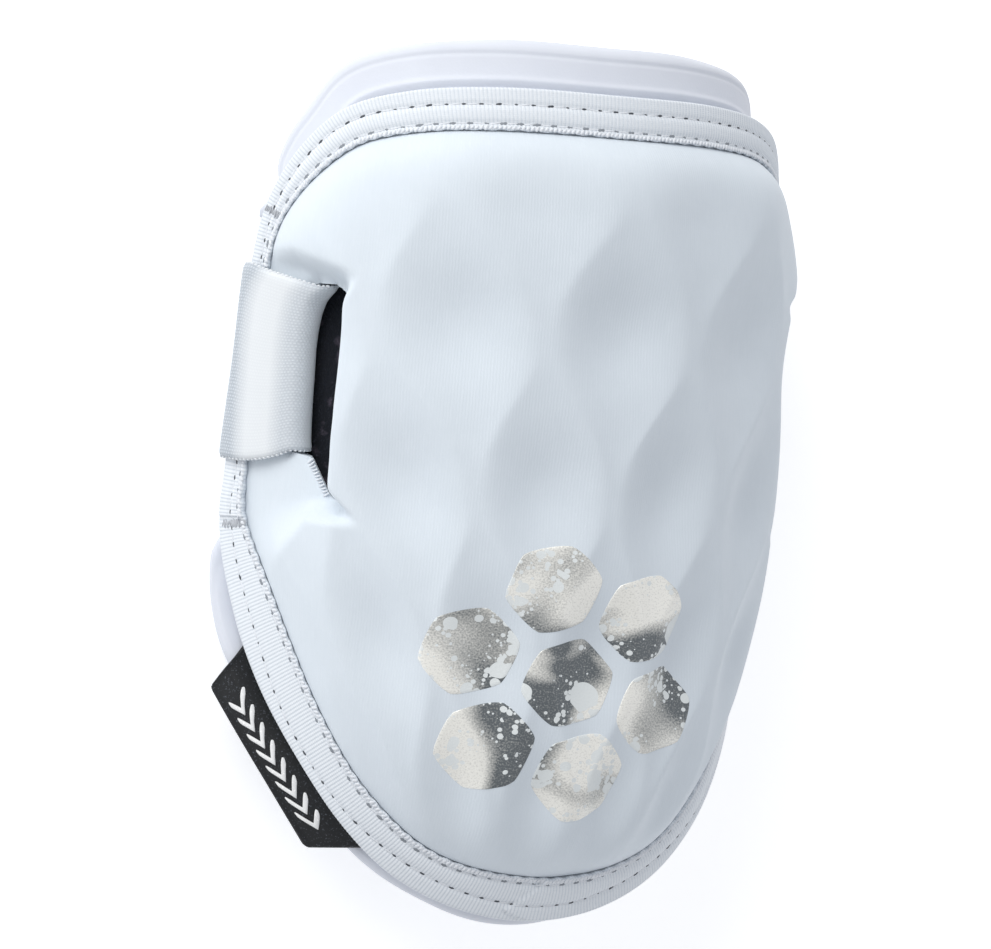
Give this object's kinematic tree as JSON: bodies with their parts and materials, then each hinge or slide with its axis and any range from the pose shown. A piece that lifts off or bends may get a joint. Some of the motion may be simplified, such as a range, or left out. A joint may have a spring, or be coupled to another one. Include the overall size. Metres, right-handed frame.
{
  "type": "elbow guard",
  "caption": "Moulded white elbow guard: a dented foam pad with a taped rim over a soft inner pad, held by an elastic strap through side slots.",
  "frame": {"origin": "on the floor under the middle of the guard's length and width, as it lies dome up on its strap", "axes": "+X across the arm to the right seen from the front of the pad with the upper arm end up, +Y along the arm towards the upper arm, +Z out of the front of the pad"},
  "size_m": [0.118, 0.171, 0.0573],
  "materials": {
    "knit_cover": "fine white warp knit over moulded foam",
    "ribbed_tape": "ribbed white binding tape",
    "soft_knit": "smooth white knit over soft foam",
    "elastic": "white woven elastic",
    "loop_fabric": "black brushed loop fabric",
    "label_rubber": "matt black moulded rubber"
  },
  "bodies": {
    "root": {"outer_pad": "knit_cover", "binding": "ribbed_tape", "inner_pad": "soft_knit", "strap": "elastic", "loop_patch_left": "loop_fabric", "loop_patch_right": "loop_fabric", "label_tab": "label_rubber"}
  },
  "joints": []
}
